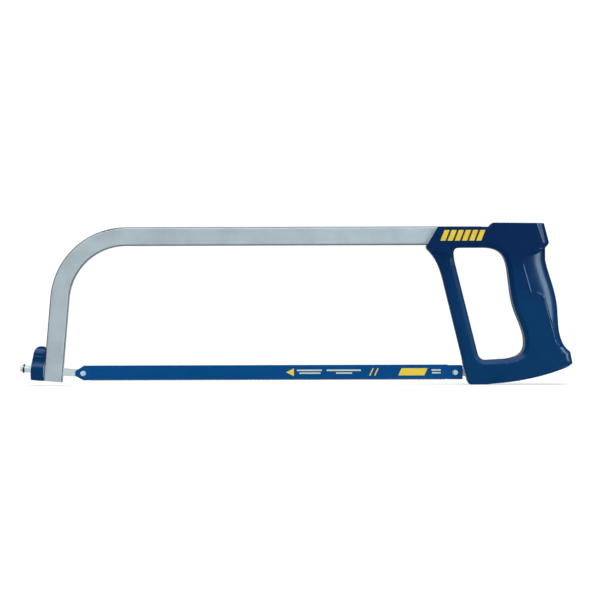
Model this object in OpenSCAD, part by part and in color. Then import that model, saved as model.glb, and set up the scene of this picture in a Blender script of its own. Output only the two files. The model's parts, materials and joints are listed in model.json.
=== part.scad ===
/* [Blade] */
// Distance between the two blade holes, the nominal blade length (mm)
blade_centres = 300; // [290:1:305]
// Height of the blade from tooth tip to back (mm)
blade_h = 12.4; // [12:0.1:13]
// Thickness of the blade (mm)
blade_t = 0.65; // [0.6:0.05:0.75]
// Teeth per inch
teeth_per_inch = 24; // [18, 24, 32]
// Diameter of the blade holes (mm)
blade_hole_d = 4.6; // [4.5:0.1:4.8]
// Diameter of the pins that carry the blade (mm)
blade_pin_d = 3.8; // [3.6:0.1:3.9]

/* [Bow] */
// Height of the rectangular tube in the plane of the saw (mm)
bar_h = 15; // [14.6:0.1:15.4]
// Depth of the rectangular tube across the saw (mm)
bar_d = 10; // [9.4:0.1:10.4]
// Wall thickness of the tube (mm)
bar_wall = 1.2; // [1:0.1:1.4]
// Centreline radius of the front bend (mm)
bend_r = 53.7; // [50:0.1:56]
// Lean of the front leg away from the vertical (degrees)
leg_lean = 4.9; // [4:0.1:5.5]

/* [Tensioner] */
// Thread diameter and width across the flats of the square shank (mm)
stud_d = 6; // [5.6:0.1:6]
// Radius of the lever boss (mm)
boss_r = 8.8; // [8.6:0.1:9.2]
// Length of the lever nut along the stud (mm)
boss_len = 10.1; // [9.8:0.1:10.6]
// Height of the thumb tab above the stud axis (mm)
tab_reach = 19.3; // [17:0.1:20]
// Width of the thumb tab (mm)
tab_w = 12; // [10:0.5:13]

/* [Handle] */
// Full width of the grip (mm)
grip_w = 26; // [24:0.5:30]
// Width of the front strut and the bottom bar (mm)
strut_w = 17; // [16:0.5:18.5]
// Width of the arm round the tube socket (mm)
arm_w = 18.5; // [17:0.5:19]
// Width of the head block above the grip (mm)
head_w = 21.5; // [20:0.5:22]

/* [Hidden] */
$fn = 64;
gap = 0.05;
cut = 1;

// Datum lines: handle foot at z = 0, blade line and bar centreline above it.
pin_z = 9.6;
bar_z = 119.9;
rear_x = 128.7;
front_x = rear_x - blade_centres;
pin_r = blade_pin_d / 2;
hole_r = blade_hole_d / 2;
// Tension holds each pin against the outer side of its hole.
pull = hole_r - pin_r - 0.03;
front_pin_x = front_x - pull;
rear_pin_x = rear_x + pull;

// Bow
bend_x = -136.5 + (300 - blade_centres);
corner_r = 1.6;
leg_below = 8.4;
socket_end = 150;
// Stud frame: origin at the front pin, x towards the handle, z up along the leg.
bend_to_pin = [bend_x - front_pin_x, bar_z - bend_r - pin_z];
leg_x = -(bend_r - bend_to_pin[0] * cos(leg_lean) + bend_to_pin[1] * sin(leg_lean));
leg_out = leg_x - bar_h / 2;
leg_in = leg_x + bar_h / 2;
leg_top = (bend_to_pin[0] - bend_r * cos(leg_lean)) * sin(leg_lean)
        + (bend_to_pin[1] + bend_r * sin(leg_lean)) * cos(leg_lean);

// Stud, washer and nut stations along the stud axis
washer_t = 0.8;
washer_r = 7;
nut_x = leg_out - washer_t - 2 * gap;
lever_x = leg_out - 0.2;
nut_end = lever_x - boss_len;
stud_tip = nut_end - 9.5;
clip_x = stud_tip + 2.6;
clip_t = 1;
nose_back = -9;
nose_tip = 5.6;
nose_t = stud_d / 2;
insert_r = 5;

// Overall centring
heel_x = 222.7;
tip_r = stud_d / 2 - 0.8;
tip_x = front_pin_x + stud_tip * cos(leg_lean) - tip_r * sin(leg_lean);
shift_x = -(tip_x + heel_x) / 2;

// Cubic curve from a to d with control points b and c, without its last point
function curve(a, b, c, d, n = 8) = [for (i = [0 : n - 1]) let (t = i / n, u = 1 - t)
    u * u * u * a + 3 * u * u * t * b + 3 * u * t * t * c + t * t * t * d];

module side(w) {
    translate([0, w / 2, 0])
        rotate([90, 0, 0])
            linear_extrude(w)
                children();
}

module on_stud() {
    translate([front_pin_x, 0, pin_z])
        rotate([0, leg_lean, 0])
            children();
}

module rod_x(x0, x1, r) {
    translate([x0, 0, 0])
        rotate([0, 90, 0])
            cylinder(r = r, h = x1 - x0);
}

module box_x(x0, x1, w, h) {
    translate([x0, -w / 2, -h / 2])
        cube([x1 - x0, w, h]);
}

module pin_y(x, z, r, y0, y1) {
    translate([x, y1, z])
        rotate([90, 0, 0])
            cylinder(r = r, h = y1 - y0);
}

// Rectangle with quarter-round corners, centred
module round_rect(w, h, r) {
    square([w - 2 * r, h], center = true);
    square([w, h - 2 * r], center = true);
    for (sx = [-1, 1], sy = [-1, 1])
        translate([sx * (w / 2 - r), sy * (h / 2 - r)])
            circle(r);
}

module tube_profile(step = 0) {
    inner_h = bar_h - 2 * bar_wall - step;
    inner_d = bar_d - 2 * bar_wall - step;
    difference() {
        round_rect(bar_h + step, bar_d + step, corner_r);
        round_rect(inner_h, inner_d, corner_r - bar_wall / 2);
    }
}

// Steel bow: top bar, one bend and the front leg
module frame_bow() {
    color("silver")
    difference() {
        union() {
            translate([bend_x, 0, bar_z])
                rotate([0, 90, 0])
                    linear_extrude(socket_end - bend_x)
                        tube_profile();
            translate([bend_x, 0, bar_z - bend_r])
                rotate([90, 0, 0])
                    rotate([0, 0, 90])
                        rotate_extrude(angle = 90 - leg_lean, $fn = 96)
                            translate([bend_r, 0])
                                tube_profile();
            on_stud()
                translate([leg_x, 0, -leg_below])
                    linear_extrude(leg_top + leg_below + 0.4)
                        tube_profile(step = 0.02);
        }
        on_stud()
            box_x(leg_out - cut, leg_in + cut, stud_d + 2 * gap, stud_d + 2 * gap);
        for (x = bow_pin_x)
            pin_y(x, bar_z, bow_pin_r + 0.02, -bar_d, bar_d);
    }
}

bow_pin_r = 2.5;
bow_pin_x = [126, 143];

// Spring pins driven in from the far side through the socket and the tube
module bow_pins() {
    color("dimgray")
    for (x = bow_pin_x)
        difference() {
            pin_y(x, bar_z, bow_pin_r, 2 - arm_w / 2, arm_w / 2 + 0.3);
            pin_y(x, bar_z, bow_pin_r - 0.8, -arm_w, arm_w);
            translate([x, -arm_w, bar_z - 0.3])
                cube([bow_pin_r + cut, 2 * arm_w, 0.6]);
        }
}

strut_foot = [134.4, 20];
strut_head = [119.6, 81.2];
notch_low = [217.8, 28.8];
notch_high = [201.4, 109.6];
back_mid = [211, 58];

function outer_outline() = concat(
    [[135.5, 13.7], [138.3, 3.2], [139.4, 0.4], [140.5, 0]],
    curve([152.9, 0], [175.1, 2.1], [194.5, 4.3], [218.8, 14.1], 10),
    [[218.8, 14.1], [221.7, 15.9], [heel_x, 17.7], [220.9, 26.2], [219.9, 28]],
    curve(notch_low, [211.8, 37.6], [211.7, 44.8], back_mid, 8),
    curve(back_mid, [210.2, 74.9], [204.3, 85.7], [201.4, 100.3], 10),
    [[201.4, 100.3], notch_high, [204.3, 113.9], [200.6, 128.7], [199.9, 129.7]],
    [[158.9, 130.2], [155.8, 126.9], [116, 127.2], [114.6, 126.6], [105.5, 112.2]],
    curve([105.6, 110], [113.8, 101.4], [116.7, 93.5], strut_head, 8),
    [strut_head, strut_foot]);

function window_outline() = concat(
    curve([128.8, 96.7], [126.4, 108.2], [126.8, 110.2], [134.4, 110.2], 8),
    curve([152.1, 110.2], [167.4, 109.8], [169.5, 101.4], [171.1, 90.5], 10),
    curve([171.1, 90.5], [172.7, 79.7], [173.1, 71.1], [175.8, 62.2], 6),
    curve([175.8, 62.2], [178.2, 53.9], [183.3, 45.5], [184.3, 36.3], 8),
    curve([184.3, 36.3], [185.1, 26.8], [181.8, 21.6], [168, 20.3], 8),
    curve([155, 19.7], [149.4, 19.4], [147.3, 21.6], [146.2, 26.7], 6));

module handle_face() {
    difference() {
        polygon(outer_outline());
        polygon(window_outline());
    }
}

// Leaning bar with well-rounded edges that gives the grip its section
module grip_bar() {
    edge = grip_w / 2 - 0.2;
    translate([192.5, 0, 66])
        rotate([0, -12.3, 0])
            translate([0, 0, -75])
                linear_extrude(111)
                    round_rect(38.6, grip_w, edge);
}

module arm_block() {
    polygon([[105.5, 112.2], [114.6, 126.6], [116, 127.2], [155.8, 126.9], [158.9, 130.2],
             [161, 130.2], [161, 111], [107, 111]]);
}

// Head block with its far and near faces chamfered towards the top and back
module head_block() {
    intersection() {
        side(head_w)
            polygon([[156.2, 127.3], [158.9, 130.2], [199.9, 129.7], [200.6, 128.7],
                     [204.3, 113.9], notch_high, [201.4, 101.2], [171, 96], [160, 110.2]]);
        translate([150, 0, 0])
            rotate([90, 0, 90])
                linear_extrude(60)
                    polygon([[-head_w / 2, 80], [head_w / 2, 80], [head_w / 2, 128.8],
                             [head_w / 2 - 1.4, 130.3], [1.4 - head_w / 2, 130.3], [-head_w / 2, 128.8]]);
        translate([0, 0, 60])
            linear_extrude(80)
                polygon([[150, -head_w / 2], [198, -head_w / 2], [205, 5 - head_w / 2],
                         [205, head_w / 2 - 5], [198, head_w / 2], [150, head_w / 2]]);
    }
}

holder_pocket = [134, 163];
lock_pin_x = 154;
lock_pin_r = 2;

// Cast handle: front strut, foot, grip, arm with the tube socket and head block
module handle() {
    color("midnightblue")
    difference() {
        union() {
            side(strut_w)
                handle_face();
            side(arm_w)
                arm_block();
            head_block();
            intersection() {
                side(grip_w)
                    handle_face();
                grip_bar();
            }
        }
        translate([0, 0, bar_z])
            box_x(100, socket_end + 0.2, bar_d + 2 * gap, bar_h + 2 * gap);
        translate([0, 0, pin_z])
            box_x(holder_pocket[0], holder_pocket[1], stud_d + 2 * gap, stud_d + 2 * gap);
        for (x = bow_pin_x)
            pin_y(x, bar_z, bow_pin_r + 0.02, 1.9 - arm_w / 2, arm_w);
        pin_y(lock_pin_x, pin_z, lock_pin_r + 0.02, 1.9 - strut_w / 2, strut_w);
    }
}

// Plain badge on the near face of the arm
module arm_badge() {
    color("gold")
    translate([0, -arm_w / 2 - 0.03, 0])
        rotate([90, 0, 0])
            linear_extrude(0.25)
                polygon([[116.6, 115.7], [149.4, 115.7], [152.8, 124.3], [120, 124.3]]);
}

// Square shank with a flattened nose, its pin hole at the origin and its far end at back
module holder_body(back) {
    difference() {
        union() {
            box_x(back, nose_back, stud_d, stud_d);
            translate([nose_back - cut, gap, -stud_d / 2])
                cube([nose_tip - stud_d / 2 - nose_back + cut, nose_t - gap, stud_d]);
            pin_y(nose_tip - stud_d / 2, 0, stud_d / 2, gap, nose_t);
        }
        pin_y(0, 0, pin_r + 0.02, -stud_d, stud_d);
    }
}

// Front holder: threaded stud, square shank through the leg and flattened nose
module front_holder() {
    color("gainsboro")
    on_stud()
        difference() {
            union() {
                holder_body(leg_out + 0.6);
                rod_x(stud_tip + 0.8, leg_out + 1, stud_d / 2);
                translate([stud_tip, 0, 0])
                    rotate([0, 90, 0])
                        cylinder(r1 = tip_r, r2 = stud_d / 2, h = 0.8);
            }
            difference() {
                rod_x(clip_x - gap, clip_x + clip_t + gap, stud_d);
                rod_x(clip_x - cut, clip_x + clip_t + cut, stud_d / 2 - 0.6);
            }
        }
}

// Rear holder: the same section, held in the handle by a cross pin
module rear_holder() {
    color("gainsboro")
    difference() {
        translate([rear_pin_x, 0, pin_z])
            mirror([1, 0, 0])
                holder_body(rear_pin_x - holder_pocket[1] + 0.1);
        pin_y(lock_pin_x, pin_z, lock_pin_r + 0.02, -strut_w, strut_w);
    }
}

module holder_lock_pin() {
    color("dimgray")
    pin_y(lock_pin_x, pin_z, lock_pin_r, 2 - strut_w / 2, strut_w / 2 + 0.3);
}

module blade_pin() {
    pin_y(0, 0, pin_r, -2.8, nose_t - 0.1);
    translate([0, -2.8, 0])
        rotate([90, 0, 0])
            cylinder(r1 = pin_r, r2 = pin_r - 0.5, h = 0.5);
}

module rear_blade_pin() {
    color("lightgray")
    translate([rear_pin_x, 0, pin_z])
        blade_pin();
}

module front_blade_pin() {
    color("lightgray")
    on_stud()
        blade_pin();
}

module thrust_washer() {
    color("lightgray")
    on_stud()
        difference() {
            rod_x(leg_out - gap - washer_t, leg_out - gap, washer_r);
            rod_x(leg_out - 3, leg_out + cut, stud_d / 2 + 0.2);
        }
}

// Side view of the lever: straight flank, then the domed end of the thumb tab
module lever_side() {
    polygon(concat(
        [[lever_x, -12], [nut_end, -12], [nut_end, 5.5], [nut_end + 0.9, tab_reach - 6]],
        curve([nut_end + 1.2, tab_reach - 4.4], [nut_end + 2.2, tab_reach - 1.4],
              [nut_end + 4.2, tab_reach], [nut_end + 6.6, tab_reach], 6),
        [[lever_x - 1.4, tab_reach - 0.1], [lever_x, tab_reach - 1.2]]));
}

rib_z = [10.5, 13.4];
rib_r = 0.9;

module lever_front() {
    circle(boss_r);
    translate([-tab_w / 2, 0])
        square([tab_w, tab_reach - tab_w / 2]);
    translate([0, tab_reach - tab_w / 2])
        circle(tab_w / 2);
}

// Plastic lever nut: round boss with a recess for the washer and one ribbed thumb tab
module tension_lever() {
    color("steelblue")
    on_stud()
        difference() {
            union() {
                intersection() {
                    side(40)
                        lever_side();
                    translate([nut_end - cut, 0, 0])
                        rotate([90, 0, 90])
                            linear_extrude(boss_len + 2 * cut)
                                lever_front();
                }
                for (z = rib_z, s = [-1, 1])
                    translate([0, s * (tab_w / 2 - 0.3), z])
                        rod_x(nut_end + 1.4, lever_x - 1.8, rib_r);
            }
            rod_x(nut_end - cut, lever_x + cut, insert_r + 0.02);
            rod_x(nut_x - gap, lever_x + cut, washer_r + 0.3);
        }
}

// Threaded steel bush moulded into the lever
module nut_insert() {
    color("silver")
    on_stud()
        difference() {
            rod_x(nut_end - 0.3, nut_x, insert_r);
            rod_x(nut_end - cut, nut_x + cut, stud_d / 2 + 0.05);
        }
}

// Open retaining clip that keeps the lever nut from running off the stud
module stud_clip() {
    color("dimgray")
    on_stud()
        difference() {
            rod_x(clip_x, clip_x + clip_t, stud_d / 2 + 0.8);
            rod_x(clip_x - cut, clip_x + clip_t + cut, stud_d / 2 - 0.57);
            translate([clip_x - cut, -1.6, -stud_d])
                cube([clip_t + 2 * cut, 3.2, stud_d - 1]);
        }
}

blade_top = 6.4;
tooth_tip = blade_top - blade_h;
tooth_h = 0.65;
blade_front = -6.5;
blade_rear = 6.1;
pitch = 25.4 / teeth_per_inch;
teeth = floor((blade_centres + blade_front + blade_rear - 13) / pitch);

// Push-stroke teeth, so each tooth's steep face looks away from the handle
function tooth_line() = [for (i = [0 : teeth - 1], k = [0, 1])
    [i * pitch + k * 0.12, k == 0 ? tooth_tip + tooth_h : tooth_tip]];

module blade_face() {
    x0 = 6.4;
    polygon(concat(
        [[blade_front, 1.9], [blade_front, -1.9], [blade_front + 6.6, tooth_tip + 0.4],
         [x0, tooth_tip + 0.4]],
        [for (p = tooth_line()) [x0 + p[0], p[1]]],
        [[x0 + teeth * pitch, tooth_tip + tooth_h],
         [blade_centres - 6, tooth_tip + 0.4], [blade_centres + blade_rear, tooth_tip + 0.4],
         [blade_centres + blade_rear, blade_top - 1.4], [blade_centres + blade_rear - 1, blade_top - 0.4],
         [blade_centres - 6, blade_top - 0.4], [blade_centres - 6, blade_top], [0.1, blade_top],
         [0.1, blade_top - 0.4], [blade_front + 6, blade_top - 0.6]]));
}

// Saw blade with its two holes
module blade() {
    color("royalblue")
    difference() {
        translate([front_x, 0, pin_z])
            rotate([90, 0, 0])
                linear_extrude(blade_t)
                    blade_face();
        pin_y(front_x, pin_z, hole_r, -5, 5);
        pin_y(rear_x, pin_z, hole_r, -5, 5);
    }
}

module centred() {
    translate([shift_x, 0, 0])
        children();
}

centred() frame_bow();
centred() handle();
centred() arm_badge();
centred() bow_pins();
centred() rear_holder();
centred() holder_lock_pin();
centred() rear_blade_pin();
centred() front_holder();
centred() front_blade_pin();
centred() thrust_washer();
centred() tension_lever();
centred() nut_insert();
centred() stud_clip();
centred() blade();
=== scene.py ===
import json
import math

import bmesh
import bpy
import numpy as np
from mathutils import Matrix, Vector
from mathutils.geometry import delaunay_2d_cdt


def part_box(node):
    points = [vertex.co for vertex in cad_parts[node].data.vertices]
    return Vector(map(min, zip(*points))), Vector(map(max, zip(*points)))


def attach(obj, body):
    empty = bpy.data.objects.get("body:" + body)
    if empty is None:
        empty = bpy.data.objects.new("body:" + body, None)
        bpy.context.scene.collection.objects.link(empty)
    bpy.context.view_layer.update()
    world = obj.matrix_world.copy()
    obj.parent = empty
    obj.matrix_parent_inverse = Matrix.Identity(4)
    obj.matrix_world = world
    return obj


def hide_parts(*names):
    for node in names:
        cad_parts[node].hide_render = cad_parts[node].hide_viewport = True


MM = 0.001
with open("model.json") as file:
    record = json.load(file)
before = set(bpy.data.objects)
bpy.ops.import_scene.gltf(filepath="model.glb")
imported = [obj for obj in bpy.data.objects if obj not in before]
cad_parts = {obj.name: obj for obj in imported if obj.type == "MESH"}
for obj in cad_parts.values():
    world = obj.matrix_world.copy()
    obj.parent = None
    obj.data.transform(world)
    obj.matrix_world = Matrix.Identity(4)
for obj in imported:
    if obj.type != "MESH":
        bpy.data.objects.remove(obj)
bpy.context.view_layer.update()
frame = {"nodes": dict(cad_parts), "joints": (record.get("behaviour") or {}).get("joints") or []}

# The handle's outlines and relief are in its own millimetres: x towards the heel, z up from its foot.
HEEL_X = 222.7
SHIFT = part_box("handle")[1].x / MM - HEEL_X
WIDEST, NARROWEST = 12.99, 1.5  # limits of half the handle's width
GRIP_TOP = (201.4, 100.3)
HEAD_BACK = [(201.4, 109.6), (204.3, 113.9), (200.2, 129.7)]
HEAD_LEDGE = [(185.7, 102.6), (194.7, 105.7), (199.2, 109.3), (201.9, 111.6)]
CREASE = [(182.6, 96.7), (189.3, 72.5)]
PANEL = [(189, 72.9), (193.8, 73), (198.7, 71.1), (200.1, 68), (210, 30.2)]
PANEL_TOP, PANEL_FOOT = 72.9, 30.0


# ---------------------------------------------------------------- outlines

def curve(a, b, c, d, n=80):
    """A cubic curve from a to d, without its last point."""
    a, b, c, d = (np.array(p, float) for p in (a, b, c, d))
    t = np.arange(n)[:, None] / n
    u = 1 - t
    return [tuple(p) for p in u**3 * a + 3 * u * u * t * b + 3 * u * t * t * c + t**3 * d]


def soften(points, radius, turn=0.3):
    """Rounds each corner of a closed outline that bends by more than turn."""
    out, n = [], len(points)
    for i, p in enumerate(points):
        p = np.array(p)
        a, b = np.array(points[i - 1]), np.array(points[(i + 1) % n])
        la, lb = np.linalg.norm(a - p), np.linalg.norm(b - p)
        u, v = (a - p) / la, (b - p) / lb
        bend = math.pi - math.acos(max(-1, min(1, float(u @ v))))
        if bend < turn:
            out.append(tuple(p))
            continue
        r = min(radius, 0.45 * la, 0.45 * lb)
        for t in np.linspace(0, 1, 6):
            q = (1 - t) ** 2 * (p + u * r) + 2 * t * (1 - t) * p + t * t * (p + v * r)
            out.append(tuple(q))
    return out


def even(points, step):
    """The closed outline again with no gap longer than step."""
    out = []
    for i, p in enumerate(points):
        p, q = np.array(p), np.array(points[(i + 1) % len(points)])
        n = max(1, int(math.ceil(np.linalg.norm(q - p) / step)))
        out += [tuple(p + (q - p) * k / n) for k in range(n)]
    return out


def thin(points, step):
    """The closed outline without points closer than a third of step to the last one kept."""
    out = [points[0]]
    for p in points[1:]:
        if math.dist(p, out[-1]) > step / 3:
            out.append(p)
    return out


def grip_back_edge():
    """The grip's back edge, from the heel's notch up to the head."""
    middle = (211, 58)
    low = curve((217.8, 28.8), (211.8, 37.6), (211.7, 44.8), middle)
    return low + curve(middle, (210.2, 74.9), (204.3, 85.7), GRIP_TOP)


def outer_outline():
    """The handle's outer edge: foot, heel, grip, head, arm and the front of the strut."""
    heel, strut_foot = (218.8, 14.1), (119.6, 81.2)
    points = [(134.4, 20), (135.5, 13.7), (138.3, 3.2), (140.1, 0)]
    points += curve((152.9, 0), (175.1, 2.1), (194.5, 4.3), heel)
    points += [heel, (HEEL_X, 16.9), (220.9, 26.2)]
    points += grip_back_edge()
    points += [GRIP_TOP, *HEAD_BACK]
    points += [(158.9, 130.2), (155.8, 126.9), (115.0, 127.2), (105.5, 111.4)]
    points += curve((105.9, 109.6), (113.8, 101.4), (116.7, 93.5), strut_foot)
    points += [strut_foot]
    return soften(points, 0.8)


def window_outline():
    """The edge of the finger window, from its upper front corner round to the strut."""
    finger, palm, corner = (171.1, 90.5), (175.8, 62.2), (184.3, 36.3)
    points = curve((128.8, 96.7), (126.4, 108.2), (126.8, 110.2), (134.4, 110.2))
    points += curve((152.1, 110.2), (167.4, 109.8), (169.5, 101.4), finger)
    points += curve(finger, (172.7, 79.7), (173.1, 71.1), palm)
    points += curve(palm, (178.2, 53.9), (183.3, 45.5), corner)
    points += curve(corner, (185.1, 26.8), (181.8, 21.6), (168, 20.3))
    points += curve((155, 19.7), (149.4, 19.4), (147.3, 21.6), (146.2, 26.7))
    return points


def edge_distance(p, loop):
    """Distance from each point to a closed outline."""
    a = np.array(loop)
    b = np.roll(a, -1, axis=0)
    d = b - a
    best = np.empty(len(p))
    batch = 2000
    for i in range(0, len(p), batch):
        q = p[i:i + batch, None, :]
        t = np.clip(((q - a) * d).sum(2) / (d * d).sum(1), 0, 1)
        near = a + t[..., None] * d
        best[i:i + batch] = np.sqrt(((q - near) ** 2).sum(2)).min(1)
    return best


def inside(p, loop):
    """Whether each point lies inside a closed outline."""
    a = np.array(loop)
    b = np.roll(a, -1, axis=0)
    hit = np.zeros(len(p), bool)
    for (x1, y1), (x2, y2) in zip(a, b):
        if y1 == y2:
            continue
        crosses = (y1 > p[:, 1]) != (y2 > p[:, 1])
        hit ^= crosses & (p[:, 0] < (x2 - x1) * (p[:, 1] - y1) / (y2 - y1) + x1)
    return hit


def on_handle(p, loops):
    """Whether each point lies inside the outer edge and outside the window."""
    outer, window = loops
    return inside(p, outer) & ~inside(p, window)


def insets(loop, depth, sign):
    """Points at a given depth from a closed outline, on the side that sign gives."""
    a = np.array(loop)
    t = np.roll(a, -1, axis=0) - np.roll(a, 1, axis=0)
    t /= np.linalg.norm(t, axis=1)[:, None] + 1e-12
    return a + sign * depth * np.stack([-t[:, 1], t[:, 0]], axis=1)


# ---------------------------------------------------------------- relief of the handle

def ramp(v, lo, hi):
    """A smooth step from 0 at lo to 1 at hi."""
    t = np.clip((v - lo) / (hi - lo), 0, 1)
    return t * t * (3 - 2 * t)


def roll_off(d, across, down):
    """How far a rounded edge has dropped at distance d from the outline."""
    u = np.clip(1 - d / across, 0, 1)
    return down * (1 - np.sqrt(np.clip(1 - u * u, 0, 1)))


def edge_x(z, points):
    """x of a rising edge at height z."""
    points = np.array(points)
    return np.interp(z, points[:, 1], points[:, 0])


def beyond(x, z, a, b):
    """How far each point lies to the upper right of the falling line from a to b."""
    dx, dz = b[0] - a[0], b[1] - a[1]
    return ((z - a[1]) * dx - (x - a[0]) * dz) / math.hypot(dx, dz)


def face_level(x, z):
    """Half width of the flat faces: strut, grip and the thicker arm above."""
    on_grip = ramp(x, 150, 178)
    strut = 8.5 - 1.0 * ramp(z, 88, 103) * ramp(-x, -128, -117)
    grip = 12.6 - 1.85 * ramp(z, 76, 102)
    arm = 9.25 + 1.5 * on_grip
    ledge = 107.2 - 0.10 * (x - 106)
    top = ramp(z, ledge - 0.5, ledge + 0.5) * ramp(-x, -128, -118)
    soft = ramp(z, 100, 110) * ramp(x, 116, 128)
    up = np.clip(top + soft * (1 - top), 0, 1)
    return (strut * (1 - on_grip) + grip * on_grip) * (1 - up) + arm * up


def past_panel(x, z):
    """How far each point lies outside the grip's flat panel."""
    past = np.maximum(beyond(x, z, PANEL[3], PANEL[4]), z - PANEL_TOP)
    for a, b in zip(PANEL[1:3], PANEL[2:4]):
        past = np.maximum(past, beyond(x, z, a, b))
    return np.where(z < PANEL_FOOT + 2, np.minimum(past, (z - PANEL_FOOT) * 1.2), past)


def grip_back(x, z):
    """Drop of the grip's rounded back behind its crease, above and beside the flat panel."""
    (top_x, top_z), (foot_x, foot_z) = CREASE
    ridge = top_x + (top_z - z) * (foot_x - top_x) / (top_z - foot_z)
    back = edge_x(z, grip_back_edge() + [(GRIP_TOP[0], 112)])
    u = np.clip((x - ridge) / np.maximum(back - ridge, 4), 0, 1)
    drop = 0.55 * u + 8.6 * (1 - np.sqrt(np.clip(1 - (0.985 * u) ** 2.3, 0, 1)))
    drop += 0.05 * np.clip(ridge - x, 0, 9) * ramp(z, 70, 76) * ramp(-z, -101, -95)
    past = past_panel(x, z)
    bead = np.interp(past, [-0.8, -0.45, 0.4], [0, 0.38, 0]) * ramp(z, 30, 33) * ramp(x, 194, 197)
    crease = 0.28 * np.exp(-((x - ridge) / 0.4) ** 2) * ramp(z, 71, 75) * ramp(-z, -98, -95)
    return drop * ramp(past, 0.0, 0.6 + 2.0 * ramp(-x, -197, -192)) - bead - crease


def head_facets(x, z):
    """Drop of the two facets that turn the head's face into its back."""
    from_back = edge_x(z, HEAD_BACK) - x
    outer = np.interp(z, [115.6, 128.7], [3.0, 2.0])
    inner = np.interp(z, [113.4, 128.7], [5.2, 6.3])
    turned = np.clip((inner - from_back) / (inner - outer), 0, 1) * (inner - outer) * 0.52
    return turned + np.clip(outer - from_back, 0, 4) * 1.25


def handle_half_width(p, d_out, d_in):
    """Half the handle's width across the saw at each point of its side view."""
    x, z = p[:, 0], p[:, 1]
    on_grip = ramp(x, 150, 172) * ramp(z, 24, 46)
    sill = ramp(x, 146, 156) * ramp(-z, -26, -22)
    window = roll_off(d_in, 2.2 + 2.4 * on_grip + 0.5 * sill, 2.6 + 1.0 * on_grip - 0.4 * sill)
    on_strut = ramp(-x, -150, -138) * ramp(z, 14, 26) * ramp(-z, -108, -98)
    rim = roll_off(d_out, 0.6 + 7.4 * on_strut, 0.5 + 4.5 * on_strut)
    low = ramp(x, 200, 212) * ramp(-z, -33, -29)
    heel = roll_off(d_out, 6.5, 5.0) * low * ramp(z, 12, 17)
    foot = roll_off(d_out, 2.2, 1.6) * ramp(-z, -24, -14)
    ledge = np.interp(x, *np.transpose(HEAD_LEDGE))
    from_ledge = ramp(x, 180, 187)
    head = ramp(z - ledge, -0.6, 1.2) * from_ledge + ramp(z, 100, 108) * (1 - from_ledge)
    back = grip_back(x, z) * (1 - head) * ramp(x, 172, 182)
    facets = head_facets(x, z) * head * (x > 189)
    drop = np.maximum.reduce([window, rim, heel, foot, facets, np.maximum(back, 0)])
    drop += np.minimum(back, 0) * (drop < 0.05)
    return np.clip(face_level(x, z) - drop, NARROWEST, WIDEST)


# ---------------------------------------------------------------- mesh of the handle

def line(a, b, offsets, step=0.7):
    """Rows of points along the line from a to b, one row at each offset from it."""
    a, b = np.array(a, float), np.array(b, float)
    length = np.linalg.norm(b - a)
    normal = np.array([b[1] - a[1], a[0] - b[0]]) / length
    along_line = np.linspace(0, 1, int(length / step) + 1)[:, None]
    return [a + (b - a) * along_line + normal * offset for offset in offsets]


def relief_lines():
    """Rows of points along the lines of the relief that need crisp facets."""
    bead, facet, ledge = (-0.95, -0.4, 0, 0.2, 0.45, 0.8), (-0.3, 0, 0.3), (-0.6, 0, 0.6, 1.2)
    rows = line(PANEL[3], PANEL[4], bead)
    for a, b in zip(PANEL[:3], PANEL[1:4]):
        rows += line(a, b, bead)
    rows += line(PANEL[4], (217, 30), (0, 0.5))
    rows += line(*CREASE, (-0.4, 0, 0.4))
    rows += line((198.4, 129.5), (201.1, 113), facet)
    rows += line((194.0, 129.5), (199.1, 112.5), facet)
    rows += line(HEAD_LEDGE[0], HEAD_LEDGE[1], ledge)
    rows += line(HEAD_LEDGE[1], HEAD_LEDGE[3], ledge)
    rows += line((106, 107.2), (128, 105.0), (-0.5, 0, 0.5))
    return rows


def surface_points(loops, fine):
    """Points between the edges: rings along them, the relief lines, and an even grid."""
    depths = [0.15, 0.35, 0.6, 0.9, 1.3, 1.8, 2.4, 3.1] if fine else [0.3, 0.9, 2.0]
    rings = [insets(loop, depth, sign) for loop, sign in zip(loops, (1, -1)) for depth in depths]
    shaped = np.concatenate(rings + relief_lines())
    grid, grid_clear = (0.75, 3.4) if fine else (2.0, 2.4)
    gx, gz = np.meshgrid(np.arange(104, 225, grid), np.arange(0, 132, grid * 0.866))
    gx[1::2] += grid / 2
    filling = np.stack([gx.ravel(), gz.ravel()], axis=1)
    cells = {}
    for cloud, clear, cell in ((shaped, 0.14, 0.16), (filling, grid_clear, 0.5)):
        cloud = cloud[on_handle(cloud, loops)]
        cloud = cloud[np.minimum(*(edge_distance(cloud, loop) for loop in loops)) > clear]
        for p in cloud:
            cells.setdefault((round(p[0] / cell), round(p[1] / cell), cell), tuple(p))
    return list(cells.values())


def triangulate(loops, points):
    """The corners and triangles that cover the handle's side view."""
    verts, edges = [], []
    for loop in loops:
        start, n = len(verts), len(loop)
        edges += [(start + i, start + (i + 1) % n) for i in range(n)]
        verts += loop
    made = delaunay_2d_cdt([Vector(p) for p in verts + points], edges, [], 0, 1e-4)
    corners = np.array([(q.x, q.y) for q in made[0]])
    triangles = np.array([face for face in made[2] if len(face) == 3])
    return corners, triangles[on_handle(corners[triangles].mean(1), loops)]


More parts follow.
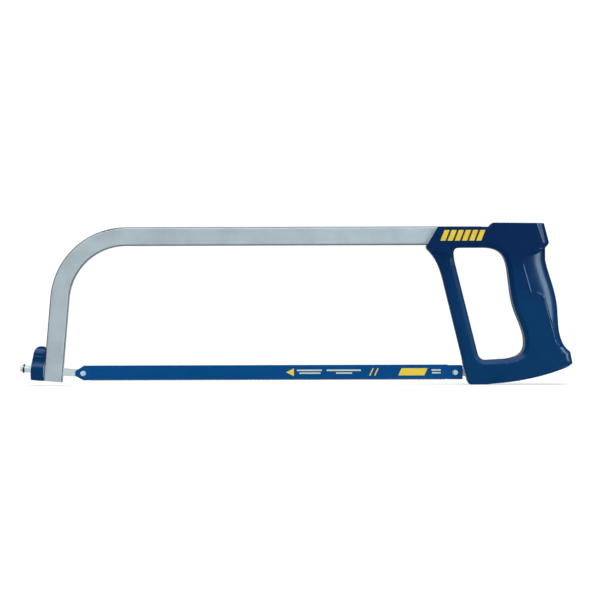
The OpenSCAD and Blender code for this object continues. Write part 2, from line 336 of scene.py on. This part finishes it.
def handle_mesh(fine):
    """Both sides of the handle and the walls between them: vertices in metres, and faces."""
    step = 0.8 if fine else 1.6
    loops = [thin(even(outline, step), step) for outline in (outer_outline(), window_outline())]
    corners, triangles = triangulate(loops, surface_points(loops, fine))
    half = handle_half_width(corners, *(edge_distance(corners, loop) for loop in loops)) * MM
    x, z = (corners[:, 0] + SHIFT) * MM, corners[:, 1] * MM
    near, far = (np.stack([x, side * half, z], axis=1) for side in (-1, 1))
    n = len(corners)
    faces = [tuple(face) for face in triangles.tolist()]
    sides = dict.fromkeys((face[i], face[(i + 1) % 3]) for face in faces for i in range(3))
    walls = [(j, i, i + n, j + n) for i, j in sides if (j, i) not in sides]
    faces += [(a + n, c + n, b + n) for a, b, c in faces]
    return np.concatenate([near, far]), faces + walls


def object_from(name, verts, faces, sharp=30.0):
    """A smooth-shaded object from vertices in metres, with edges sharper than sharp kept crisp."""
    mesh = bpy.data.meshes.new(name)
    mesh.from_pydata([tuple(v) for v in verts], [], faces)
    bm = bmesh.new()
    bm.from_mesh(mesh)
    loose = [v for v in bm.verts if not v.link_faces]
    bmesh.ops.delete(bm, geom=loose, context="VERTS")
    bmesh.ops.recalc_face_normals(bm, faces=bm.faces)
    bm.to_mesh(mesh)
    bm.free()
    mesh.shade_smooth()
    mesh.set_sharp_from_angle(angle=math.radians(sharp))
    obj = bpy.data.objects.new(name, mesh)
    bpy.context.scene.collection.objects.link(obj)
    return obj


def make_handle():
    """The cast handle with its rounded edges and relief."""
    verts, faces = handle_mesh(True)
    obj = object_from("handle_casting", verts, faces)
    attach(obj, "frame")
    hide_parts("handle")
    return obj


# ---------------------------------------------------------------- front holder

# The stud's sizes are millimetres along its own axis: the front pin is at 0 and its tip at a negative x.
AXIS = Vector(next(j["axis"] for j in frame["joints"] if j["name"] == "front_holder_slide")).normalized()
PIN = sum(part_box("front_blade_pin"), Vector()) / 2
PIN.y = 0
STUD = Matrix.Translation(PIN) @ Matrix((
    (AXIS.x, 0, -AXIS.z, 0), (0, 1, 0, 0), (AXIS.z, 0, AXIS.x, 0), (0, 0, 0, 1)))
STUD_R, THREAD_DEPTH, PITCH = 3.0, 0.5, 1.0
THREAD_END, SHANK_END, NOSE_END = -30.4, -9.0, 5.6
GROOVE_R, GROOVE_HALF = 2.42, 0.62


def along(point):
    """Distance of a point from the front pin along the stud, in millimetres."""
    return (Vector(point) - PIN).dot(AXIS) / MM


def thread_radius(x, angle):
    """Radius of a rounded screw thread."""
    phase = (x / PITCH - angle / (2 * math.pi)) % 1.0
    return float(STUD_R - THREAD_DEPTH * ramp(abs(phase - 0.5) * 2, 0.12, 0.95))


def threaded_end(tip, groove, around=40, step=0.12):
    """The stud's thread from its tapered tip, with the clip's groove: vertices in metres, and faces."""
    verts, faces = [], []
    stations = np.arange(tip, THREAD_END, step)
    for x in stations:
        limit = min(2.2 + (x - tip), GROOVE_R if abs(x - groove) < GROOVE_HALF else STUD_R)
        for k in range(around):
            angle = 2 * math.pi * k / around
            r = min(thread_radius(x, angle), limit)
            verts.append((x * MM, r * math.cos(angle) * MM, r * math.sin(angle) * MM))
    last = (len(stations) - 1) * around
    for i in range(0, last, around):
        for k in range(around):
            a, b = i + k, i + (k + 1) % around
            faces.append((a, b, b + around, a + around))
    faces.append(tuple(range(around)))
    faces.append(tuple(last + k for k in range(around))[::-1])
    return verts, faces


def add_block(bm, lo, hi, bevel):
    """A bevelled block in millimetres."""
    made = bmesh.ops.create_cube(bm, size=1.0)["verts"]
    for v in made:
        v.co = Vector([(l + h) / 2 + c * (h - l) for l, h, c in zip(lo, hi, v.co)]) * MM
    edges = list({e for v in made for e in v.link_edges})
    bmesh.ops.bevel(bm, geom=edges, offset=bevel * MM, segments=2, affect="EDGES")


def add_nose(bm, start, end, half=3, front=0.06, back=2.98):
    """The flattened half of the holder behind the blade, with a round end, in millimetres."""
    centre = end - half
    ring = [(start, -half), (centre, -half)]
    for a in np.linspace(0, math.pi, 17)[1:-1]:
        ring.append((centre + half * math.sin(a), -half * math.cos(a)))
    ring += [(centre, half), (start, half)]
    near, far = ([bm.verts.new(Vector((x, y, z)) * MM) for x, z in ring] for y in (front, back))
    faces = [bm.faces.new(near), bm.faces.new(far[::-1])]
    n = len(ring)
    faces += [bm.faces.new((near[(i + 1) % n], near[i], far[i], far[(i + 1) % n])) for i in range(n)]
    bmesh.ops.recalc_face_normals(bm, faces=faces)
    rim = list({e for f in faces[:2] for e in f.edges})
    bmesh.ops.bevel(bm, geom=rim, offset=0.25 * MM, segments=2, affect="EDGES")


def make_front_holder():
    """The stud: thread with the clip's groove, square shank and flattened nose."""
    lo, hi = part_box("front_holder")
    tip = along((lo.x, 0, hi.z)) + 0.5
    clip = along(sum(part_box("stud_clip"), Vector()) / 2)
    obj = object_from("front_stud", *threaded_end(tip, clip), sharp=50)
    bm = bmesh.new()
    bm.from_mesh(obj.data)
    add_block(bm, (THREAD_END, -STUD_R, -STUD_R), (SHANK_END, STUD_R, STUD_R), 0.35)
    add_nose(bm, SHANK_END - 0.6, NOSE_END)
    bm.to_mesh(obj.data)
    bm.free()
    obj.data.transform(STUD)
    obj.data.shade_smooth()
    obj.data.set_sharp_from_angle(angle=math.radians(35))
    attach(obj, "front_holder")
    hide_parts("front_holder")
    return obj


# ---------------------------------------------------------------- blade and lever

def make_blade():
    """The blade with its fine teeth set in a gentle wave."""
    wave_length, swing = 8.6 * MM, 0.21 * MM
    obj = bpy.data.objects.new("saw_blade", frame["nodes"]["blade"].data.copy())
    bpy.context.scene.collection.objects.link(obj)
    obj.data.name = "saw_blade"
    obj.data.materials.clear()
    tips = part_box("blade")[0].z
    root = tips + 1.5 * MM
    bm = bmesh.new()
    bm.from_mesh(obj.data)
    bmesh.ops.remove_doubles(bm, verts=bm.verts, dist=1e-7)
    for height in (root, tips + 0.9 * MM):
        geom = bm.verts[:] + bm.edges[:] + bm.faces[:]
        bmesh.ops.bisect_plane(bm, geom=geom, plane_co=(0, 0, height), plane_no=(0, 0, 1), dist=1e-7)
    for v in bm.verts:
        share = max(0.0, (root - v.co.z) / (root - tips))
        v.co.y += swing * share * share * math.sin(v.co.x / wave_length * 2 * math.pi)
    bm.to_mesh(obj.data)
    bm.free()
    obj.data.shade_smooth()
    obj.data.set_sharp_from_angle(angle=math.radians(18))
    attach(obj, "blade")
    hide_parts("blade")
    return obj


def round_lever():
    """Softens the moulded lever's edges without moving its mesh."""
    lever = frame["nodes"]["tension_lever"]
    remesh = lever.modifiers.new("mould", "REMESH")
    remesh.mode = "VOXEL"
    remesh.voxel_size = 0.18 * MM
    remesh.use_smooth_shade = True
    smooth = lever.modifiers.new("soft", "SMOOTH")
    smooth.factor = 0.5
    smooth.iterations = 8


# ---------------------------------------------------------------- node graphs

class Graph:
    """A node tree, with one short method for each kind of node."""

    def __init__(self, tree):
        self.nodes, self.links = tree.nodes, tree.links
        self.nodes.clear()

    def feed(self, value, socket):
        """Links value to socket, or sets it where it is a number or an RGB colour."""
        if hasattr(value, "links"):
            self.links.new(value, socket)
        elif isinstance(value, tuple):
            socket.default_value = (*value, 1)
        else:
            socket.default_value = value

    def coords(self, kind="Object"):
        """The object's own coordinates, or its normals where kind is Normal."""
        return self.nodes.new("ShaderNodeTexCoord").outputs[kind]

    def split(self, vector):
        """X, Y and Z of a vector."""
        node = self.nodes.new("ShaderNodeSeparateXYZ")
        self.links.new(vector, node.inputs[0])
        return node.outputs

    def noise(self, vector, scale, detail=3.0, rough=0.5):
        """Noise of that scale, mostly between 0.3 and 0.7."""
        node = self.nodes.new("ShaderNodeTexNoise")
        node.inputs["Scale"].default_value = scale
        node.inputs["Detail"].default_value = detail
        node.inputs["Roughness"].default_value = rough
        self.links.new(vector, node.inputs["Vector"])
        return node.outputs["Fac"]

    def stretched(self, vector, scale):
        """The vector scaled by a different number along each axis."""
        node = self.nodes.new("ShaderNodeMapping")
        node.inputs["Scale"].default_value = scale
        self.links.new(vector, node.inputs["Vector"])
        return node.outputs["Vector"]

    def remap(self, value, lo, hi, out_lo=0.0, out_hi=1.0):
        """The value carried from between lo and hi to between out_lo and out_hi, and clamped."""
        node = self.nodes.new("ShaderNodeMapRange")
        node.inputs["From Min"].default_value = lo
        node.inputs["From Max"].default_value = hi
        node.inputs["To Min"].default_value = out_lo
        node.inputs["To Max"].default_value = out_hi
        self.links.new(value, node.inputs["Value"])
        return node.outputs["Result"]

    def cloud(self, noise, margin=0.35):
        """Noise with more contrast, from 0 to 1."""
        return self.remap(noise, margin, 1 - margin)

    def mix(self, fac, a, b, kind="RGBA"):
        """a where fac is 0 and b where it is 1: colours, or numbers where kind is FLOAT."""
        node = self.nodes.new("ShaderNodeMix")
        node.data_type = kind
        for value, name in ((fac, "Factor"), (a, "A"), (b, "B")):
            self.feed(value, node.inputs[name])
        return node.outputs["Result"]

    def math(self, kind, a, b=0.0):
        """The two values put through one operation of the Math node."""
        node = self.nodes.new("ShaderNodeMath")
        node.operation = kind
        self.feed(a, node.inputs[0])
        self.feed(b, node.inputs[1])
        return node.outputs[0]


class Surface(Graph):
    """A material with one Principled shader."""

    def __init__(self, name):
        self.material = bpy.data.materials.new(name)
        self.material.use_nodes = True
        super().__init__(self.material.node_tree)
        out = self.nodes.new("ShaderNodeOutputMaterial")
        self.shader = self.nodes.new("ShaderNodeBsdfPrincipled")
        self.links.new(self.shader.outputs["BSDF"], out.inputs["Surface"])

    def set(self, **values):
        """Sets the shader's inputs, named in lower case with underscores."""
        names = {name.lower().replace(" ", "_"): name for name in self.shader.inputs.keys()}
        for key, value in values.items():
            self.feed(value, self.shader.inputs[names[key]])

    def now(self, name):
        """What feeds one of the shader's inputs so far, or its number."""
        socket = self.shader.inputs[name]
        return socket.links[0].from_socket if socket.is_linked else socket.default_value

    def bump(self, height, strength, distance):
        """Gives the surface small bumps, distance high."""
        node = self.nodes.new("ShaderNodeBump")
        node.inputs["Strength"].default_value = strength
        node.inputs["Distance"].default_value = distance
        self.links.new(height, node.inputs["Height"])
        self.links.new(node.outputs["Normal"], self.shader.inputs["Normal"])


# ---------------------------------------------------------------- materials

PAINT_SPECULAR = 0.08


def enamel(name, colour, deep, coat=0.14, gloss=0.3, peel=420.0):
    """Glossy paint with a little orange peel and slight changes of tone."""
    paint = Surface(name)
    at = paint.coords()
    rough = paint.remap(paint.noise(at, 160.0), 0.3, 0.7, gloss, gloss + 0.07)
    paint.set(base_color=paint.mix(paint.cloud(paint.noise(at, 35.0)), colour, deep), roughness=rough,
              coat_weight=coat, coat_roughness=0.16, specular_ior_level=PAINT_SPECULAR)
    paint.bump(paint.noise(at, peel, 1.0), 0.015, 0.0003)
    return paint


def plated(name, colour, rough=0.38, metal=1.0, grain=(30.0, 900.0, 900.0), depth=0.06):
    """Plated or bright steel with fine drawing lines along one direction."""
    steel = Surface(name)
    at = steel.coords()
    lines = steel.noise(steel.stretched(at, grain), 1.0, 4.0, 0.6)
    dark = tuple(c * 0.86 for c in colour)
    steel.set(base_color=steel.mix(steel.cloud(steel.noise(at, 45.0, 4.0)), dark, colour), metallic=metal,
              roughness=steel.remap(lines, 0.3, 0.7, rough - 0.05, rough + 0.07))
    steel.bump(lines, depth, 0.0003)
    return steel


def paint_corner_shade(steel, corner_shade):
    """Painted shade: darkens the plating along the tube's rounded corners, found from the surface normal,
    to give the dark lines along its edges.
    """
    facing = steel.math("ABSOLUTE", steel.split(steel.coords("Normal"))["Y"])
    corner = steel.math("MULTIPLY", steel.remap(facing, 0.05, 0.15), steel.remap(facing, 0.80, 0.97, 1, 0))
    steel.set(base_color=steel.mix(corner, steel.now("Base Color"), corner_shade))


def dull_top(surface, rough):
    """Makes the faces that look straight up rougher, and takes the coat off them."""
    up = surface.remap(surface.split(surface.coords("Normal"))["Z"], 0.93, 0.99)
    surface.set(roughness=surface.mix(up, surface.now("Roughness"), rough, "FLOAT"))
    coat = surface.now("Coat Weight")
    if coat > 0:
        surface.set(coat_weight=surface.mix(up, coat, 0.01, "FLOAT"))


def paint_shade_above(paint, deep, low, high):
    """Painted shade: fades the paint to a deeper blue between two heights, so the upper part looks less
    lit by light bouncing up from the floor.
    """
    fade = paint.remap(paint.split(paint.coords())["Z"], low, high)
    paint.set(base_color=paint.mix(fade, paint.now("Base Color"), deep))


def box_mask(paint, x, z, x0, x1, z0, z1, slant=0.0, soft=0.00008):
    """1 inside a rectangle of the side view, leaned by slant, with thin soft edges."""
    shifted = paint.math("SUBTRACT", x, paint.math("MULTIPLY", z, slant))
    out = 1.0
    for value, lo, hi in ((shifted, x0, x1), (z, z0, z1)):
        out = paint.math("MULTIPLY", out, paint.remap(value, lo - soft, lo + soft))
        out = paint.math("MULTIPLY", out, paint.remap(value, hi - soft, hi + soft, 1, 0))
    return out


def blade_enamel():
    """Blue blade paint, dark grey at the tooth tips, with plain bars, leaning blocks and an arrow."""
    paint = Surface("blade_enamel")
    at = paint.coords()
    x, _, z = paint.split(at)
    lo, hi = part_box("blade")
    middle = (lo.z + hi.z) / 2 + 0.0003
    cloud = paint.cloud(paint.noise(paint.stretched(at, (14, 60, 60)), 1.0, 4.0))
    colour = paint.mix(cloud, (0.0, 0.070, 0.245), (0.0, 0.078, 0.268))
    # dark grey along the very tips of the teeth
    tips = paint.remap(z, lo.z + 0.0011, lo.z + 0.0006)
    colour = paint.mix(tips, colour, (0.10, 0.13, 0.17))
    yellow, pale = (0.90, 0.68, 0.07), (0.62, 0.72, 0.62)
    upper, lower = (middle + 0.0009, middle + 0.0021), (middle - 0.0013, middle - 0.0002)
    for x0, x1, row in ((0.0010, 0.0210, upper), (0.0030, 0.0200, lower), (0.0250, 0.0525, upper),
                        (0.0325, 0.0455, lower), (0.1095, 0.1170, upper), (0.1100, 0.1170, lower)):
        colour = paint.mix(box_mask(paint, x, z, x0, x1, *row), colour, pale)
    for x0, x1 in ((0.0795, 0.1005), (0.0560, 0.0570), (0.0600, 0.0610)):
        leaning = box_mask(paint, x, z, x0, x1, middle - 0.0028, middle + 0.0030, 0.45)
        colour = paint.mix(leaning, colour, yellow)
    colour = paint.mix(arrow_mask(paint, x, z, -0.0078, -0.0016, middle), colour, yellow)
    paint.set(base_color=colour, roughness=paint.remap(cloud, 0, 1, 0.26, 0.34), coat_weight=0.08,
              coat_roughness=0.12, specular_ior_level=PAINT_SPECULAR)
    paint.bump(paint.noise(at, 500.0, 2.0), 0.04, 0.0003)
    return paint


def arrow_mask(paint, x, z, tip, tail, middle, soft=0.0001):
    """1 inside a triangle of the side view that points towards minus x."""
    width = paint.math("ABSOLUTE", paint.math("SUBTRACT", z, middle))
    past_tip = paint.math("SUBTRACT", paint.math("ADD", x, -tip), paint.math("MULTIPLY", width, 2.0))
    return paint.math("MULTIPLY", paint.remap(past_tip, 0, soft), paint.remap(x, tail, tail + soft, 1, 0))


def badge_film():
    """Plain yellow film crossed by leaning blue stripes."""
    slant, spacing = 0.395, 0.00576
    film = Surface("badge_film")
    at = film.coords()
    x, _, z = film.split(at)
    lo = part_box("arm_badge")[0]
    lean = film.math("SUBTRACT", x, film.math("MULTIPLY", z, slant))
    lean = film.math("SUBTRACT", lean, lo.x - slant * lo.z)
    phase = film.math("FRACT", film.math("MULTIPLY", lean, 1 / spacing))
    cloud = film.cloud(film.noise(at, 90.0))
    yellow = film.mix(cloud, (0.86, 0.60, 0.020), (0.94, 0.68, 0.035))
    film.set(base_color=film.mix(film.remap(phase, 0.69, 0.71), yellow, (0.004, 0.035, 0.09)),
             roughness=film.remap(cloud, 0, 1, 0.3, 0.38))
    film.bump(film.noise(at, 700.0, 2.0), 0.04, 0.0002)
    return film


def handle_enamel():
    """The handle's blue paint, darkened towards the arm by painted shade, and dull on top."""
    paint = enamel("handle_enamel", (0.0, 0.0435, 0.145), (0.0, 0.0405, 0.136))
    dull_top(paint, 0.75)
    # painted shade: deeper blue from 62 mm up, deepest above 105 mm
    paint_shade_above(paint, (0.0, 0.0235, 0.102), 0.062, 0.105)
    return paint


def tube_zinc():
    """The tube's satin zinc, with painted shade along its corners, and dull on top."""
    steel = plated("satin_zinc", (0.545, 0.64, 0.685), 0.42, 0.22, (12.0, 500.0, 500.0), 0.04)
    # painted shade: a dark grey line along each rounded corner of the tube
    paint_corner_shade(steel, (0.16, 0.19, 0.21))
    dull_top(steel, 0.8)
    return steel


def dress(obj, surface):
    """Gives the object this one material."""
    obj.data.materials.clear()
    obj.data.materials.append(surface.material)


def dress_all(handle, stud, blade):
    """Gives every piece its material."""
    zinc = plated("bright_zinc", (0.84, 0.94, 0.95), 0.26, 0.15, (120.0, 900.0, 900.0))
    turned = plated("turned_steel", (0.64, 0.90, 1.0), 0.22, 0.15, (400.0, 60.0, 400.0))
    dark = plated("spring_steel", (0.12, 0.12, 0.125), 0.36, 0.9, (300.0, 300.0, 300.0))
    lever = enamel("lever_plastic", (0.0, 0.042, 0.140), (0.0, 0.038, 0.128), 0.3, 0.28, 650.0)
    dress(handle, handle_enamel())
    dress(blade, blade_enamel())
    dress(stud, zinc)
    for surface, names in ((tube_zinc(), ["frame_bow"]), (lever, ["tension_lever"]),
                           (badge_film(), ["arm_badge"]), (zinc, ["rear_holder"]),
                           (dark, ["bow_pins", "holder_lock_pin", "stud_clip"]),
                           (turned, ["thrust_washer", "nut_insert", "rear_blade_pin", "front_blade_pin"])):
        for name in names:
            dress(frame["nodes"][name], surface)


# ---------------------------------------------------------------- studio

def make_floor():
    """A plain pale floor, lit a little from within, just under the saw."""
    half, level, pale = 30.0, -0.0003, (0.42, 0.42, 0.42)
    corners = [(-half, -half), (half, -half), (half, half), (-half, half)]
    floor = object_from("studio_floor", [(x, y, level) for x, y in corners], [(0, 1, 2, 3)])
    white = Surface("studio_white")
    cloud = white.cloud(white.noise(white.coords(), 4.0), 0.3)
    white.set(base_color=white.mix(cloud, pale, tuple(c * 0.995 for c in pale)), roughness=0.9,
              emission_color=(1, 1, 1), emission_strength=0.60)
    dress(floor, white)
    floor.visible_glossy = False


def add_light(kind, name, place, target, energy):
    """A light at place that shines towards target."""
    obj = bpy.data.objects.new(name, bpy.data.lights.new(name, kind))
    bpy.context.scene.collection.objects.link(obj)
    obj.data.energy = energy
    obj.location = place
    obj.rotation_mode = "QUATERNION"
    obj.rotation_quaternion = (Vector(target) - Vector(place)).to_track_quat("-Z", "Y")
    return obj


def soft_box(name, place, target, size, energy, colour=(1, 1, 1)):
    """A rectangular light that shows only in what is glossy."""
    obj = add_light("AREA", name, place, target, energy)
    obj.data.shape = "RECTANGLE"
    obj.data.size, obj.data.size_y = size
    obj.data.color = colour
    obj.visible_diffuse = False


def make_lights():
    """A broad overhead light for the shading, and two soft boxes for the gleams."""
    overhead = add_light("SUN", "overhead", (0.15, -0.30, 1.6), (0, 0, 0), 3.0)
    overhead.data.angle = math.radians(50)
    overhead.visible_glossy = False
    soft_box("top_box", (0.1, -0.9, 1.2), (0, 0, 0.06), (2.0, 1.0), 22.0)
    soft_box("right_box", (1.3, -0.95, 0.45), (0.1, 0, 0.06), (0.6, 1.1), 48.0, (0.70, 0.90, 1.0))


def make_world():
    """A white backdrop to look at, with a dim studio for the light that falls on the saw."""
    world = bpy.data.worlds.new("studio")
    bpy.context.scene.world = world
    world.use_nodes = True
    sky = Graph(world.node_tree)
    out = sky.nodes.new("ShaderNodeOutputWorld")
    seen = sky.nodes.new("ShaderNodeLightPath").outputs
    mirrored = sky.remap(sky.split(sky.coords("Generated"))["Y"], 0.80, 0.98, 0.01, 0.5)
    strength = sky.mix(seen["Is Diffuse Ray"], mirrored, 0.25, "FLOAT")
    pick = sky.nodes.new("ShaderNodeMixShader")
    sky.links.new(seen["Is Camera Ray"], pick.inputs[0])
    for slot, colour, light in ((1, (0.9, 0.96, 1.0), strength), (2, (1, 1, 1), 1.05)):
        background = sky.nodes.new("ShaderNodeBackground")
        sky.feed(colour, background.inputs["Color"])
        sky.feed(light, background.inputs["Strength"])
        sky.links.new(background.outputs[0], pick.inputs[slot])
    sky.links.new(pick.outputs[0], out.inputs["Surface"])


def make_camera():
    """A long lens square to the saw's side, whose image spans 484 mm at the saw."""
    distance, span, aim = 1.75, 0.48445, Vector((0.0036, 0, 0.0684))
    roll, sensor = math.radians(0.17), 36.0
    data = bpy.data.cameras.new("camera")
    data.sensor_width = sensor
    data.lens = sensor * distance / span
    data.clip_end = 20
    cam = bpy.data.objects.new("camera", data)
    bpy.context.scene.collection.objects.link(cam)
    cam.location = aim + Vector((0, -distance, 0))
    cam.rotation_euler = (math.pi / 2, roll, 0)
    bpy.context.scene.camera = cam


handle = make_handle()
stud = make_front_holder()
blade = make_blade()
round_lever()
dress_all(handle, stud, blade)
make_floor()
make_lights()
make_world()
make_camera()
bpy.context.scene.view_settings.view_transform = "Standard"
